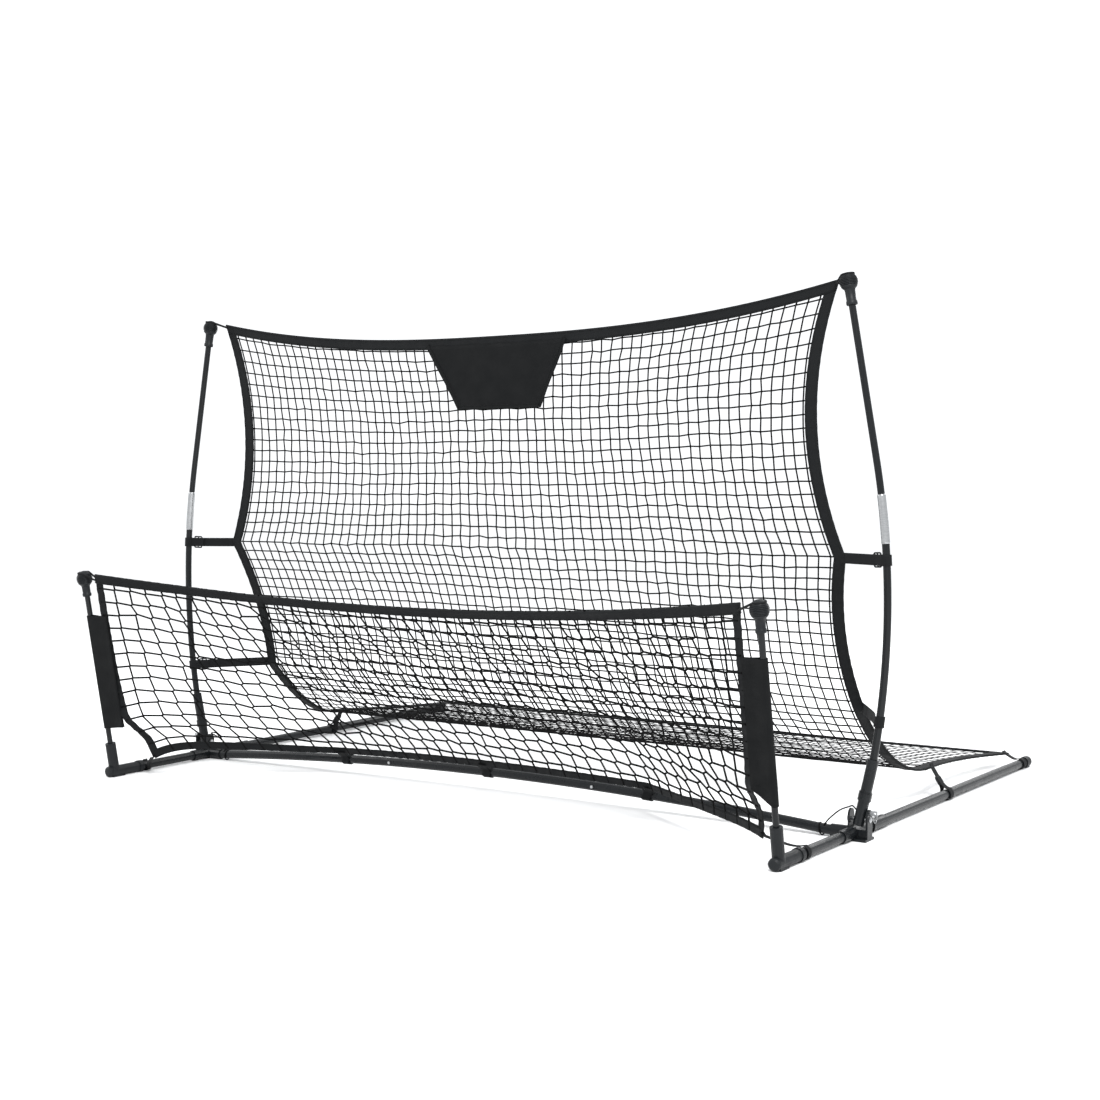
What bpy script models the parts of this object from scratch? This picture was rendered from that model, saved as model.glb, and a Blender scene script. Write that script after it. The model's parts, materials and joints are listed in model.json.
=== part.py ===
"""Two-net ball rebounder: a tall curved net between two sprung poles, and a low net in front.

The frame's own measures are taken from the pivots: X across, +X on the right, Y rearwards from the
line through both pivots, Z up from the ground. Everything is then moved forward by ORIGIN_Y, so that
the finished object stands on Z = 0 with its footprint centred on the origin.
"""

import math

import bmesh
import bpy
from mathutils import Matrix, Vector

# Driving dimensions, in metres
HALF_WIDTH = 1.060  # from the middle to a side rail's axis, at the pivot
RAIL_SPLAY = 0.026  # how far a side rail spreads for each metre rearwards
RAIL_Z = 0.016  # height of the rails' axis
RAIL_R = 0.0127
SOCKET_R = 0.0155
FRONT_END = -0.402  # front end of the side rails' tee
REAR_END = 1.222  # rear end of the side rails
ORIGIN_Y = 0.3590  # half way between the foremost and the rearmost point

TUBE_WALL = 0.0012
CROSSBAR_R = 0.0125
CROSSBAR_ARCH = 0.042  # how far its middle stands above its ends
CROSSBAR_END = 1.028
ARCH_END = 0.998  # the arch starts just inside the bracket's socket
CROSSBAR_JOINT = 0.313
BUTTON_X = 0.338
BUTTON_R = 0.004

PIVOT_Z = 0.050
PIVOT_X = 1.0765
CHEEK_GAP = 0.0202  # from the pivot's middle to a cheek's inner face
CHEEK_THICK = 0.005
CHEEK_TOP = 0.074
CHEEK_STEPS = 16
CHEEK_HALF = 0.0145  # half a cheek's width, and the radius of its rounded top
BLOCK_HALF = 0.012
FOOT_HALF = 0.026
FOOT_THICK = 0.006
PIN_Z = 0.066  # height of the lock pin
SLEEVE_TOP = 0.195
SLEEVE_BELOW = 0.014  # from the pivot's middle down to the sleeve's end
SLEEVE_R = 0.0135
COLLAR_Z = 0.105
FERRULE_BOTTOM = 0.701
FERRULE_TOP = 0.817
POLE_TOP = 1.285
LOWER_POLE_R = 0.0088
UPPER_POLE_R = 0.0080
FERRULE_R = 0.0102
POLE_CREST_X = 1.141  # where the bent pole stands furthest out
POLE_CREST_Z = 0.550
POLE_BEND = 0.25
POLE_BENT = 0.35  # the bent stretch reaches this far above the crest
CAP_R = 0.0225
CAP_Z = 1.315

TEE_SLEEVE_END = -0.284
TEE_SOCKET_Y = -0.385
TEE_SOCKET_TOP = 0.098
TEE_SOCKET_R = 0.0148
FRONT_LEAN = -0.1825  # how far a front pole leans forward for each metre of height
FRONT_POLE_R = 0.0075
FRONT_CAP_Z = 0.575
POCKET_BOTTOM = 0.144
POCKET_TOP = 0.470
POCKET_EDGE = 1.008

NET_THICK = 0.003
STRAP_WIDTH = 0.026
STRAP_THICK = 0.002
FIT = 0.0004  # running gap between pieces that slip into each other
TOUCH = 0.0003  # gap between pieces that rest against each other
SIDES = {"left": -1, "right": 1}

# Stations down the tall net's side border: x, y, z
NET_TOP = Vector((1.000, 0.030, 1.324))
NET_HIGH = Vector((1.008, 0.060, 0.663))
NET_LOW = Vector((1.000, 0.205, 0.278))
NET_RAIL = Vector((1.035, 0.580, 0.085))
NET_REAR = Vector((1.050, 1.190, 0.040))

COLLECTION = "ball_rebounder"


# ---------------------------------------------------------------- scene and materials
def clear_scene():
    for obj in list(bpy.data.objects):
        bpy.data.objects.remove(obj, do_unlink=True)
    for collection in list(bpy.data.collections):
        bpy.data.collections.remove(collection)


def new_collection(name):
    collection = bpy.data.collections.new(name)
    bpy.context.scene.collection.children.link(collection)
    return collection


def material(name, colour, roughness, metallic=0.0):
    found = bpy.data.materials.get(name)
    if found:
        return found
    made = bpy.data.materials.new(name)
    made.use_nodes = True
    shader = made.node_tree.nodes["Principled BSDF"]
    shader.inputs["Base Color"].default_value = (*colour, 1)
    shader.inputs["Roughness"].default_value = roughness
    shader.inputs["Metallic"].default_value = metallic
    return made


FINISHES = {
    "painted_steel": ((0.012, 0.013, 0.015), 0.35, 0.0),
    "black_plastic": ((0.016, 0.017, 0.019), 0.5, 0.0),
    "fibreglass": ((0.010, 0.011, 0.012), 0.3, 0.0),
    "bright_steel": ((0.62, 0.63, 0.65), 0.3, 1.0),
    "net_cord": ((0.012, 0.012, 0.013), 0.8, 0.0),
    "webbing": ((0.011, 0.012, 0.014), 0.75, 0.0),
    "patch_fabric": ((0.008, 0.009, 0.012), 0.6, 0.0),
}


def finish(obj, slot):
    colour, roughness, metallic = FINISHES[slot]
    obj.data.materials.append(material(slot, colour, roughness, metallic))
    return obj


def place(name, data, collection=None, matrix=None):
    obj = bpy.data.objects.new(name, data)
    (collection or parts).objects.link(obj)
    if matrix is not None:
        obj.matrix_world = matrix
    return obj


def helper(obj):
    obj.hide_render = True
    obj.display_type = "WIRE"
    return obj


# ---------------------------------------------------------------- shape makers
def basis(origin, x_axis, z_axis):
    """A matrix whose Z is z_axis and whose X is x_axis with its Z part taken out."""
    z = Vector(z_axis).normalized()
    x = Vector(x_axis)
    x = (x - x.dot(z) * z).normalized()
    turned = Matrix((x, z.cross(x), z)).transposed().to_4x4()
    return Matrix.Translation(origin) @ turned


def along(start, end):
    direction = end - start
    side = Vector((0, 1, 0)) if abs(direction.normalized().y) < 0.9 else Vector((1, 0, 0))
    return basis(start, side, direction)


def rod_mesh(name, start, end, radius, sides=16):
    start = Vector(start)
    end = Vector(end)
    mesh = bpy.data.meshes.new(name)
    bm = bmesh.new()
    length = (end - start).length
    shift = Matrix.Translation((0, 0, length / 2))
    bmesh.ops.create_cone(
        bm, cap_ends=True, segments=sides, radius1=radius, radius2=radius, depth=length, matrix=shift
    )
    bm.to_mesh(mesh)
    bm.free()
    mesh.shade_smooth()
    mesh.set_sharp_from_angle(angle=math.radians(40))
    return mesh, along(start, end)


def rod(name, slot, start, end, radius, sides=16):
    mesh, matrix = rod_mesh(name, start, end, radius, sides)
    return finish(place(name, mesh, parts, matrix), slot)


def cutter_rod(name, start, end, radius, sides=16):
    mesh, matrix = rod_mesh(name, start, end, radius, sides)
    return helper(place(name, mesh, cutters, matrix))


def box_helper(name, low, high):
    mesh = bpy.data.meshes.new(name)
    bm = bmesh.new()
    low = Vector(low)
    high = Vector(high)
    size = Matrix.Diagonal((*(high - low), 1))
    bmesh.ops.create_cube(bm, size=1, matrix=Matrix.Translation((low + high) / 2) @ size)
    bm.to_mesh(mesh)
    bm.free()
    return helper(place(name, mesh, cutters))


def boolean(obj, other, operation):
    step = obj.modifiers.new(other.name, "BOOLEAN")
    step.operation = operation
    step.object = other
    step.solver = "EXACT"


def cut(obj, *others):
    for other in others:
        boolean(obj, other, "DIFFERENCE")


def join(obj, *others):
    for other in others:
        boolean(obj, other, "UNION")


def tube_curve(name, points, radius, collection, resolution=4):
    curve = bpy.data.curves.new(name, "CURVE")
    curve.dimensions = "3D"
    curve.bevel_depth = radius
    curve.bevel_resolution = resolution
    curve.use_fill_caps = True
    spline = curve.splines.new("POLY")
    spline.points.add(len(points) - 1)
    for knot, point in zip(spline.points, points):
        knot.co = (*point, 1)
    return place(name, curve, collection)


def bent_rod(name, slot, points, radius):
    return finish(tube_curve(name, points, radius, parts), slot)


def as_mesh(obj):
    """The curve object made a mesh object of the same name, with its caps welded."""
    graph = bpy.context.evaluated_depsgraph_get()
    mesh = bpy.data.meshes.new_from_object(obj.evaluated_get(graph))
    bm = bmesh.new()
    bm.from_mesh(mesh)
    bmesh.ops.remove_doubles(bm, verts=bm.verts, dist=1e-5)
    bm.to_mesh(mesh)
    bm.free()
    name = obj.name
    matrix = obj.matrix_world.copy()
    collection = obj.users_collection[0]
    bpy.data.objects.remove(obj)
    return place(name, mesh, collection, matrix)


def turned(name, slot, profile, matrix, steps=14):
    """A profile of (radius, height), listed top to bottom, spun about the matrix's Z."""
    mesh = bpy.data.meshes.new(name)
    points = [(radius, 0, height) for radius, height in profile]
    mesh.from_pydata(points, [(i, i + 1) for i in range(len(points) - 1)], [])
    obj = finish(place(name, mesh, parts, matrix), slot)
    spin = obj.modifiers.new("spin", "SCREW")
    spin.steps = steps
    spin.render_steps = steps
    spin.use_merge_vertices = True
    spin.merge_threshold = 1e-4
    return obj


def ball_profile(radius, neck_r, neck_end, bore_r, bore_top, rings=7):
    """Ball centred on height 0 with a neck below it and a blind bore up the neck."""
    lowest = -math.sqrt(radius**2 - neck_r**2)
    first = math.pi / 2
    last = math.asin(lowest / radius)
    angles = [first + (last - first) * i / rings for i in range(rings + 1)]
    dome = [(radius * math.cos(a), radius * math.sin(a)) for a in angles]
    dome[0] = (0.0, radius)
    return dome + [(neck_r, neck_end), (bore_r, neck_end), (bore_r, bore_top), (0.0, bore_top)]


def circle(radius, start, end, count):
    angles = [start + (end - start) * i / count for i in range(count + 1)]
    return [(radius * math.cos(a), radius * math.sin(a)) for a in angles]


def strap(name, slot, centre, target, axis, bore, width, short=0.0006):
    """A band that loops round a tube at centre and runs flat to target, less a small gap."""
    reach = Vector(target) - Vector(centre)
    axis = Vector(axis).normalized()
    length = (reach - reach.dot(axis) * axis).length - short
    outer = bore + STRAP_THICK
    open_angle = math.asin(STRAP_THICK / 2 / outer)
    outline = circle(outer, open_angle, 2 * math.pi - open_angle, 14)
    outline += [(length, -STRAP_THICK / 2), (length, STRAP_THICK / 2)]
    inner = circle(bore, 0, 2 * math.pi, 14)[:-1]
    curve = bpy.data.curves.new(name, "CURVE")
    curve.dimensions = "2D"
    curve.fill_mode = "BOTH"
    curve.extrude = width / 2
    for ring in (outline, inner):
        spline = curve.splines.new("POLY")
        spline.points.add(len(ring) - 1)
        spline.use_cyclic_u = True
        for knot, (x, y) in zip(spline.points, ring):
            knot.co = (x, y, 0, 1)
    return finish(place(name, curve, parts, basis(centre, reach, axis)), slot)


def sheet(name, slot, surface, across, down, columns, rows):
    """A thin slab that follows surface(u, v) over the ranges across and down."""
    grid = []
    for j in range(rows + 1):
        v = down[0] + (down[1] - down[0]) * j / rows
        for i in range(columns + 1):
            grid.append(surface(across[0] + (across[1] - across[0]) * i / columns, v))
    wide = columns + 1
    faces = []
    for j in range(rows):
        for i in range(columns):
            a = j * wide + i
            faces.append((a, a + 1, a + 1 + wide, a + wide))
    mesh = bpy.data.meshes.new(name)
    mesh.from_pydata(grid, [], faces)
    obj = finish(place(name, mesh), slot)
    wall = obj.modifiers.new("wall", "SOLIDIFY")
    wall.thickness = NET_THICK
    wall.offset = 0
    return obj


# ---------------------------------------------------------------- lines of the frame
def rail_point(side, y, z=RAIL_Z):
    return Vector((side * (HALF_WIDTH + RAIL_SPLAY * y), y, z))


def crossbar_point(x):
    rise = CROSSBAR_ARCH * max(0.0, 1 - (x / ARCH_END) ** 2)
    return Vector((x, 0, RAIL_Z + rise))


def pole_point(side, z):
    """The upright pole's line: straight in its sleeve, bent, then straight towards its cap."""
    up = z - POLE_CREST_Z
    bent = max(-POLE_BENT, min(POLE_BENT, up))
    slope = 2 * POLE_BEND * POLE_BENT if up > 0 else 0.23
    straight = abs(up) - abs(bent)
    return Vector((side * (POLE_CREST_X - POLE_BEND * bent**2 - slope * straight), 0, z))


def pole_line(side, low, high, count):
    return [pole_point(side, low + (high - low) * i / count) for i in range(count + 1)]


def pole_axis(side, z):
    return (pole_point(side, z + 0.01) - pole_point(side, z - 0.01)).normalized()


def front_pole_point(side, z):
    foot = rail_point(side, TEE_SOCKET_Y)
    return foot + Vector((0, FRONT_LEAN, 1)) * (z - RAIL_Z)


# ---------------------------------------------------------------- surfaces of the nets
def bowed(start, end, t, inward, sag):
    """A point on the way from start to end, pulled towards the middle and down between them."""
    swell = 4 * t * (1 - t)
    return start.lerp(end, t) + Vector((-inward * swell, 0, -sag * swell))


def tall_net_side(v):
    """The right border, v = 0 at the top, 1 and 2 at the pole straps, 3 and 4 at the rail straps."""
    legs = (
        (NET_TOP, NET_HIGH, 0.068, 0.0),
        (NET_HIGH, NET_LOW, 0.026, 0.0),
        (NET_LOW, NET_RAIL, 0.005, 0.055),
        (NET_RAIL, NET_REAR, 0.030, 0.0),
    )
    leg = min(int(v), 3)
    start, end, inward, sag = legs[leg]
    return bowed(start, end, v - leg, inward, sag)


def tall_net(u, v):
    """The tall net: u from -1 to 1 across, v from 0 at the top to 4 at the rear corners."""
    edge = tall_net_side(v)
    middle = 1 - abs(u) ** 2.5
    dip = 0.088 * max(0.0, 1 - v) ** 2
    back = 0.030 * math.sin(math.pi * min(v, 3) / 3)
    return Vector((u * edge.x, edge.y + back * middle, edge.z - dip * middle))


LOW_TOP_X = 1.004
LOW_CORNER_X = {"left": 0.945, "right": 0.990}  # the net hangs a little unevenly
LOW_CORNER = Vector((0.965, -0.335, 0.054))
LOW_LIFT_LEFT = 0.040  # how far the border bows up between the crossbar and its corner
LOW_LIFT_RIGHT = 0.012
POCKET_FREE = 0.100  # below this height the net's side leaves the plane of its pole


def low_net_bottom(x):
    """The low net's lower border: along the crossbar, then out to the front corners."""
    beyond = max(0.0, (abs(x) - 0.5) / 0.45)
    near = crossbar_point(min(abs(x), 0.5)) + Vector((0, -0.030, 0.022))
    point = near.lerp(LOW_CORNER, beyond)
    lift = (LOW_LIFT_LEFT if x < 0 else LOW_LIFT_RIGHT) * beyond * (1 - beyond**8)
    return Vector((x, point.y, point.z + lift))


def low_net(u, v):
    """The low net in front: u from -1 to 1 across, v from 0 at the top to 1 at the bottom."""
    swell = 1 - u * u
    top = Vector((LOW_TOP_X * u, -0.466 + 0.130 * swell, 0.588 - 0.063 * swell))
    bottom = low_net_bottom(0.95 * u)
    point = top.lerp(bottom, v)
    corner_x = LOW_CORNER_X["left" if u < 0 else "right"]
    point.x = u * (LOW_TOP_X - (LOW_TOP_X - corner_x) * v**4)
    sewn = max(0.0, min(1.0, (point.z - POCKET_FREE) / 0.09))
    sewn = sewn * sewn * (3 - 2 * sewn)
    point.y += (front_pole_point(1, point.z).y - point.y) * sewn * abs(u) ** 8
    return point


# ---------------------------------------------------------------- base
def make_crossbar():
    spans = {
        "left": (-ARCH_END, -CROSSBAR_JOINT - TOUCH),
        "middle": (-CROSSBAR_JOINT, CROSSBAR_JOINT),
        "right": (CROSSBAR_JOINT + TOUCH, ARCH_END),
    }
    for name, (low, high) in spans.items():
        points = [crossbar_point(low + (high - low) * i / 10) for i in range(11)]
        if name == "left":
            points.insert(0, crossbar_point(-CROSSBAR_END))
        if name == "right":
            points.append(crossbar_point(CROSSBAR_END))
        bar = as_mesh(tube_curve("crossbar_" + name, points, CROSSBAR_R, parts))
        finish(bar, "painted_steel")
        run = (points[-1] - points[0]).normalized() * 0.01
        hollow = [points[0] - run] + points + [points[-1] + run]
        inside = tube_curve("crossbar_bore_" + name, hollow, CROSSBAR_R - TUBE_WALL, cutters)
        cut(bar, helper(as_mesh(inside)))
        if name in SIDES:
            middle = crossbar_point(SIDES[name] * BUTTON_X)
            hole = cutter_rod(
                "button_hole_" + name,
                middle + Vector((0, -0.03, 0)),
                middle,
                BUTTON_R + FIT,
                12,
            )
            cut(bar, hole)


def make_snap_button(label, side):
    middle = crossbar_point(side * BUTTON_X)
    tip = middle + Vector((0, -CROSSBAR_R - 0.0035, 0))
    rod("snap_button_" + label, "bright_steel", tip, middle + Vector((0, -0.004, 0)), BUTTON_R, 12)


def cheek_helper(name, low, high):
    """A cheek plate between two x values, with a rounded top."""
    round_z = CHEEK_TOP - CHEEK_HALF
    arc = [math.pi * i / CHEEK_STEPS for i in range(CHEEK_STEPS + 1)]
    outline = [(CHEEK_HALF * math.cos(a), round_z + CHEEK_HALF * math.sin(a)) for a in arc]
    outline += [(-CHEEK_HALF, 0.003), (CHEEK_HALF, 0.003)]
    count = len(outline)
    points = [(x, y, z) for x in (low, high) for y, z in outline]
    faces = [tuple(reversed(range(count))), tuple(range(count, 2 * count))]
    faces += [(i, (i + 1) % count, count + (i + 1) % count, count + i) for i in range(count)]
    mesh = bpy.data.meshes.new(name)
    mesh.from_pydata(points, [], faces)
    return helper(place(name, mesh, cutters))


def make_bracket(label, side):
    """Pivot bracket: rail socket, crossbar stub and a U of two cheeks on a flat foot."""
    start = rail_point(side, -0.072)
    end = rail_point(side, 0.170)
    mesh, matrix = rod_mesh("pivot_bracket_" + label, start, end, SOCKET_R)
    body = finish(place("pivot_bracket_" + label, mesh, parts, matrix), "painted_steel")
    inner = side * (PIVOT_X - CHEEK_GAP - CHEEK_THICK)
    outer = side * (PIVOT_X + CHEEK_GAP + CHEEK_THICK)
    low_x, high_x = sorted((inner, outer))
    foot = box_helper("foot_" + label, (low_x, -FOOT_HALF, 0), (high_x, FOOT_HALF, FOOT_THICK))
    block = box_helper(
        "block_" + label,
        (low_x + 0.002, -BLOCK_HALF, 0.002),
        (high_x - 0.002, BLOCK_HALF, 0.027),
    )
    join(body, foot)
    join(body, block)
    for place_name, base in (("inner", inner), ("outer", outer - side * CHEEK_THICK)):
        low, high = sorted((base, base + side * CHEEK_THICK))
        join(body, cheek_helper(f"cheek_{place_name}_{label}", low, high))
    stub = cutter_rod(
        "stub_" + label, (side * 1.058, 0, RAIL_Z), (side * 1.005, 0, RAIL_Z), SOCKET_R
    )
    join(body, stub)
    cut(
        body,
        cutter_rod("bore_front_" + label, rail_point(side, -0.080), rail_point(side, -0.036), RAIL_R + FIT),
        cutter_rod("bore_rear_" + label, rail_point(side, 0.060), rail_point(side, 0.180), RAIL_R + FIT),
        cutter_rod(
            "bore_cross_" + label,
            (side * 0.99, 0, RAIL_Z),
            (side * (CROSSBAR_END + TOUCH), 0, RAIL_Z),
            CROSSBAR_R + FIT,
        ),
        cutter_rod("bolt_hole_" + label, (side * 1.04, 0, PIVOT_Z), (side * 1.12, 0, PIVOT_Z), 0.0044, 12),
        cutter_rod(
            "pin_hole_" + label,
            (side * (PIVOT_X + 0.010), 0, PIN_Z),
            (side * 1.12, 0, PIN_Z),
            0.0034,
            12,
        ),
    )


def make_pivot_bolt(label, side):
    """Bolt with a domed head outside the outer cheek and a nut inside the inner one."""
    reach = CHEEK_GAP + CHEEK_THICK
    profile = [
        (0.0, reach + 0.0045),
        (0.0045, reach + 0.0040),
        (0.0072, reach + 0.0015),
        (0.0072, reach + TOUCH),
        (0.0040, reach + TOUCH),
        (0.0040, -reach - TOUCH),
        (0.0070, -reach - TOUCH),
        (0.0070, -reach - 0.0050),
        (0.0, -reach - 0.0050),
    ]
    matrix = basis((side * PIVOT_X, 0, PIVOT_Z), (0, 1, 0), (side, 0, 0))
    turned("pivot_bolt_" + label, "bright_steel", profile, matrix, 12)


def make_lock_pin(label, side):
    """Spring pin in the outer cheek, with a flat eye on its head."""
    height = PIN_Z
    start = side * (PIVOT_X + CHEEK_GAP + 0.0004)
    head = side * (PIVOT_X + CHEEK_GAP + CHEEK_THICK + TOUCH)
    pin = rod("lock_pin_" + label, "bright_steel", (start, 0, height), (head + side * 0.012, 0, height), 0.003, 12)
    flange = cutter_rod("flange_" + label, (head, 0, height), (head + side * 0.004, 0, height), 0.0058, 12)
    low, high = sorted((head + side * 0.003, head + side * 0.018))
    eye = box_helper("eye_" + label, (low, -0.0015, height - 0.006), (high, 0.0015, height + 0.006))
    join(pin, flange, eye)
    hole_x = head + side * 0.0125
    cut(pin, cutter_rod("eye_hole_" + label, (hole_x, -0.01, height), (hole_x, 0.01, height), 0.0030, 12))


def make_split_ring(label, side):
    height = PIN_Z
    hole_x = side * (PIVOT_X + CHEEK_GAP + CHEEK_THICK + TOUCH + 0.0125)
    mean_r = 0.0102
    bpy.ops.mesh.primitive_torus_add(
        major_segments=20,
        minor_segments=6,
        major_radius=mean_r,
        minor_radius=0.0011,
        location=(hole_x, 0, height - mean_r - 0.0016),
        rotation=(0, math.pi / 2, 0),
    )
    ring = bpy.context.active_object
    ring.name = "split_ring_" + label
    for holder in list(ring.users_collection):
        holder.objects.unlink(ring)
    parts.objects.link(ring)
    finish(ring, "bright_steel")


def make_rails(label, side):
    """The two steel tubes of a side: their ends sit in the tee, the bracket and the rear plug."""
    for name, low, high in (("front_rail", -0.372, -0.038), ("rear_rail", 0.062, REAR_END)):
        rail = rod(f"{name}_{label}", "painted_steel", rail_point(side, low), rail_point(side, high), RAIL_R)
        inside = cutter_rod(
            f"{name}_bore_{label}",
            rail_point(side, low - 0.01),
            rail_point(side, high + 0.01),
            RAIL_R - TUBE_WALL,
            12,
        )
        cut(rail, inside)


def make_rail_plug(label, side):
    """Plastic cap on the rail's rear end, with a flat foot."""
    mesh, matrix = rod_mesh(
        "rail_plug_" + label, rail_point(side, REAR_END - 0.025), rail_point(side, REAR_END + 0.005), RAIL_Z
    )
    plug = finish(place("rail_plug_" + label, mesh, parts, matrix), "black_plastic")
    end = rail_point(side, REAR_END - 0.010)
    foot = box_helper(
        "plug_foot_" + label,
        (end.x - 0.010, REAR_END - 0.024, 0),
        (end.x + 0.010, REAR_END + 0.004, 0.006),
    )
    join(plug, foot)
    bore = cutter_rod(
        "plug_bore_" + label,
        rail_point(side, REAR_END - 0.040),
        rail_point(side, REAR_END + TOUCH),
        RAIL_R + FIT,
    )
    cut(plug, bore)


def make_tee(label, side):
    """Front fitting: a sleeve on the rail, a collar, and a leaning socket for the front pole."""
    mesh, matrix = rod_mesh(
        "front_tee_" + label, rail_point(side, FRONT_END), rail_point(side, TEE_SLEEVE_END), 0.0152
    )
    tee = finish(place("front_tee_" + label, mesh, parts, matrix), "black_plastic")
    collar = cutter_rod(
        "tee_collar_" + label,
        rail_point(side, TEE_SLEEVE_END - 0.014),
        rail_point(side, TEE_SLEEVE_END + 0.002),
        RAIL_Z + 0.0012,
    )
    socket = cutter_rod(
        "tee_socket_" + label,
        front_pole_point(side, RAIL_Z),
        front_pole_point(side, TEE_SOCKET_TOP),
        TEE_SOCKET_R,
    )
    middle = rail_point(side, TEE_SOCKET_Y)
    foot = box_helper(
        "tee_foot_" + label,
        (middle.x - 0.012, TEE_SOCKET_Y - 0.014, 0),
        (middle.x + 0.012, TEE_SOCKET_Y + 0.030, 0.008),
    )
    join(tee, socket, foot)
    ground = box_helper("tee_ground_" + label, (side * 1.05 - 0.05, -0.5, -0.01), (side * 1.05 + 0.05, 0, 0))
    join(tee, collar)
    cut(
        tee,
        ground,
        cutter_rod(
            "tee_rail_bore_" + label, rail_point(side, -0.3725), rail_point(side, -0.27), RAIL_R + FIT
        ),
        cutter_rod(
            "tee_pole_bore_" + label,
            front_pole_point(side, 0.0385),
            front_pole_point(side, TEE_SOCKET_TOP + 0.02),
            FRONT_POLE_R + FIT,
        ),
    )


def make_end_cap(label, side):
    profile = [
        (0.0, 0.0095),
        (0.0100, 0.0090),
        (0.0145, 0.0055),
        (0.0158, 0.0),
        (0.0158, -0.0005),
        (0.0, -0.0005),
    ]
    base = rail_point(side, FRONT_END - 0.0016)
    turned("front_end_cap_" + label, "black_plastic", profile, basis(base, (1, 0, 0), (0, -1, 0)), 16)


def make_front_pole(label, side):
    rod(
        "front_pole_" + label,
        "fibreglass",
        front_pole_point(side, 0.040),
        front_pole_point(side, FRONT_CAP_Z - 0.006),
        FRONT_POLE_R,
    )
    axis = Vector((0, FRONT_LEAN, 1))
    profile = ball_profile(CAP_R, 0.0112, -0.050, FRONT_POLE_R + FIT, -0.004)
    centre = front_pole_point(side, FRONT_CAP_Z)
    turned("front_cap_" + label, "black_plastic", profile, basis(centre, (1, 0, 0), axis))


def make_pocket(label, side):
    """Fabric pocket that the front pole runs up, with a flat flap to the low net's edge."""
    middle_z = (POCKET_BOTTOM + POCKET_TOP) / 2
    centre = front_pole_point(side, middle_z)
    target = Vector((side * POCKET_EDGE, centre.y, centre.z))
    axis = Vector((0, FRONT_LEAN, 1))
    length = (POCKET_TOP - POCKET_BOTTOM) * axis.length
    strap("pole_pocket_" + label, "patch_fabric", centre, target, axis, FRONT_POLE_R + 0.0006, length)


def make_low_net():
    sheet("low_net", "net_cord", low_net, (-1, 1), (0, 1), 20, 4)


def make_front_straps():
    for label, x in (("left", -0.5), ("middle", 0.0), ("right", 0.5)):
        centre = crossbar_point(x)
        target = low_net(x / 0.95, 1) + Vector((0, 0.002, -0.001))
        axis = crossbar_point(x + 0.01) - crossbar_point(x - 0.01)
        bore = CROSSBAR_R + 0.0006
        strap("front_strap_" + label, "webbing", centre, target, axis, bore, STRAP_WIDTH, 0.0012)


def make_corner_tie(label, side):
    centre = rail_point(side, -0.262)
    corner = low_net(side, 1)
    target = Vector((corner.x + side * 0.003, centre.y, corner.z))
    axis = rail_point(side, 0) - rail_point(side, -1)
    strap("corner_tie_" + label, "webbing", centre, target, axis, RAIL_R + 0.0006, 0.012)


def make_floor_net():
    """The tall net below its lower pole straps: the bend, then the flat stretch to the rear."""
    sheet("net_bend", "net_cord", tall_net, (-1, 1), (2.004, 2.996), 14, 6)
    sheet("net_floor", "net_cord", tall_net, (-1, 1), (3.004, 4), 16, 4)


def make_rail_straps(label, side):
    axis = rail_point(side, 1) - rail_point(side, 0)
    for name, station, at in (("rail_strap", 3.02, NET_RAIL), ("corner_strap", 3.97, NET_REAR)):
        edge = tall_net(side, station)
        centre = rail_point(side, edge.y)
        strap(f"{name}_{label}", "webbing", centre, edge, axis, RAIL_R + 0.0006, 0.024, 0.006)


# ---------------------------------------------------------------- uprights
def make_sleeve(label, side):
    """Hinged lower sleeve of steel, with a collar, bored for the pole and the pivot bolt."""
    bottom = pole_point(side, PIVOT_Z - SLEEVE_BELOW)
    top = pole_point(side, SLEEVE_TOP)
    mesh, matrix = rod_mesh("pole_sleeve_" + label, bottom, top, SLEEVE_R)
    sleeve = finish(place("pole_sleeve_" + label, mesh, parts, matrix), "painted_steel")
    collar = cutter_rod(
        "sleeve_collar_" + label,
        pole_point(side, COLLAR_Z - 0.010),
        pole_point(side, COLLAR_Z + 0.010),
        SLEEVE_R + 0.0025,
    )
    join(sleeve, collar)
    cut(
        sleeve,
        cutter_rod(
            "sleeve_bore_" + label, pole_point(side, 0.0795), pole_point(side, 0.199), LOWER_POLE_R + FIT
        ),
        cutter_rod("barrel_hole_" + label, (side * 1.04, 0, PIVOT_Z), (side * 1.12, 0, PIVOT_Z), 0.0044, 12),
    )


def make_pole(label, side):
    middle = (FERRULE_BOTTOM + FERRULE_TOP) / 2
    bent_rod("lower_pole_" + label, "fibreglass", pole_line(side, 0.081, middle, 12), LOWER_POLE_R)
    bent_rod("upper_pole_" + label, "fibreglass", pole_line(side, middle + TOUCH, POLE_TOP, 10), UPPER_POLE_R)
    line = pole_line(side, FERRULE_BOTTOM, FERRULE_TOP, 4)
    ferrule = as_mesh(tube_curve("ferrule_" + label, line, FERRULE_R, parts))
    finish(ferrule, "bright_steel")
    bore_line = pole_line(side, FERRULE_BOTTOM - 0.01, FERRULE_TOP + 0.01, 5)
    bore = helper(as_mesh(tube_curve("ferrule_bore_" + label, bore_line, LOWER_POLE_R + FIT, cutters)))
    cut(ferrule, bore)


def make_pole_cap(label, side):
    centre = pole_point(side, CAP_Z)
    profile = ball_profile(CAP_R, 0.0120, -0.056, UPPER_POLE_R + FIT, POLE_TOP - CAP_Z + 0.001)
    turned("pole_cap_" + label, "black_plastic", profile, basis(centre, (0, 1, 0), pole_axis(side, 1.2)))


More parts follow.
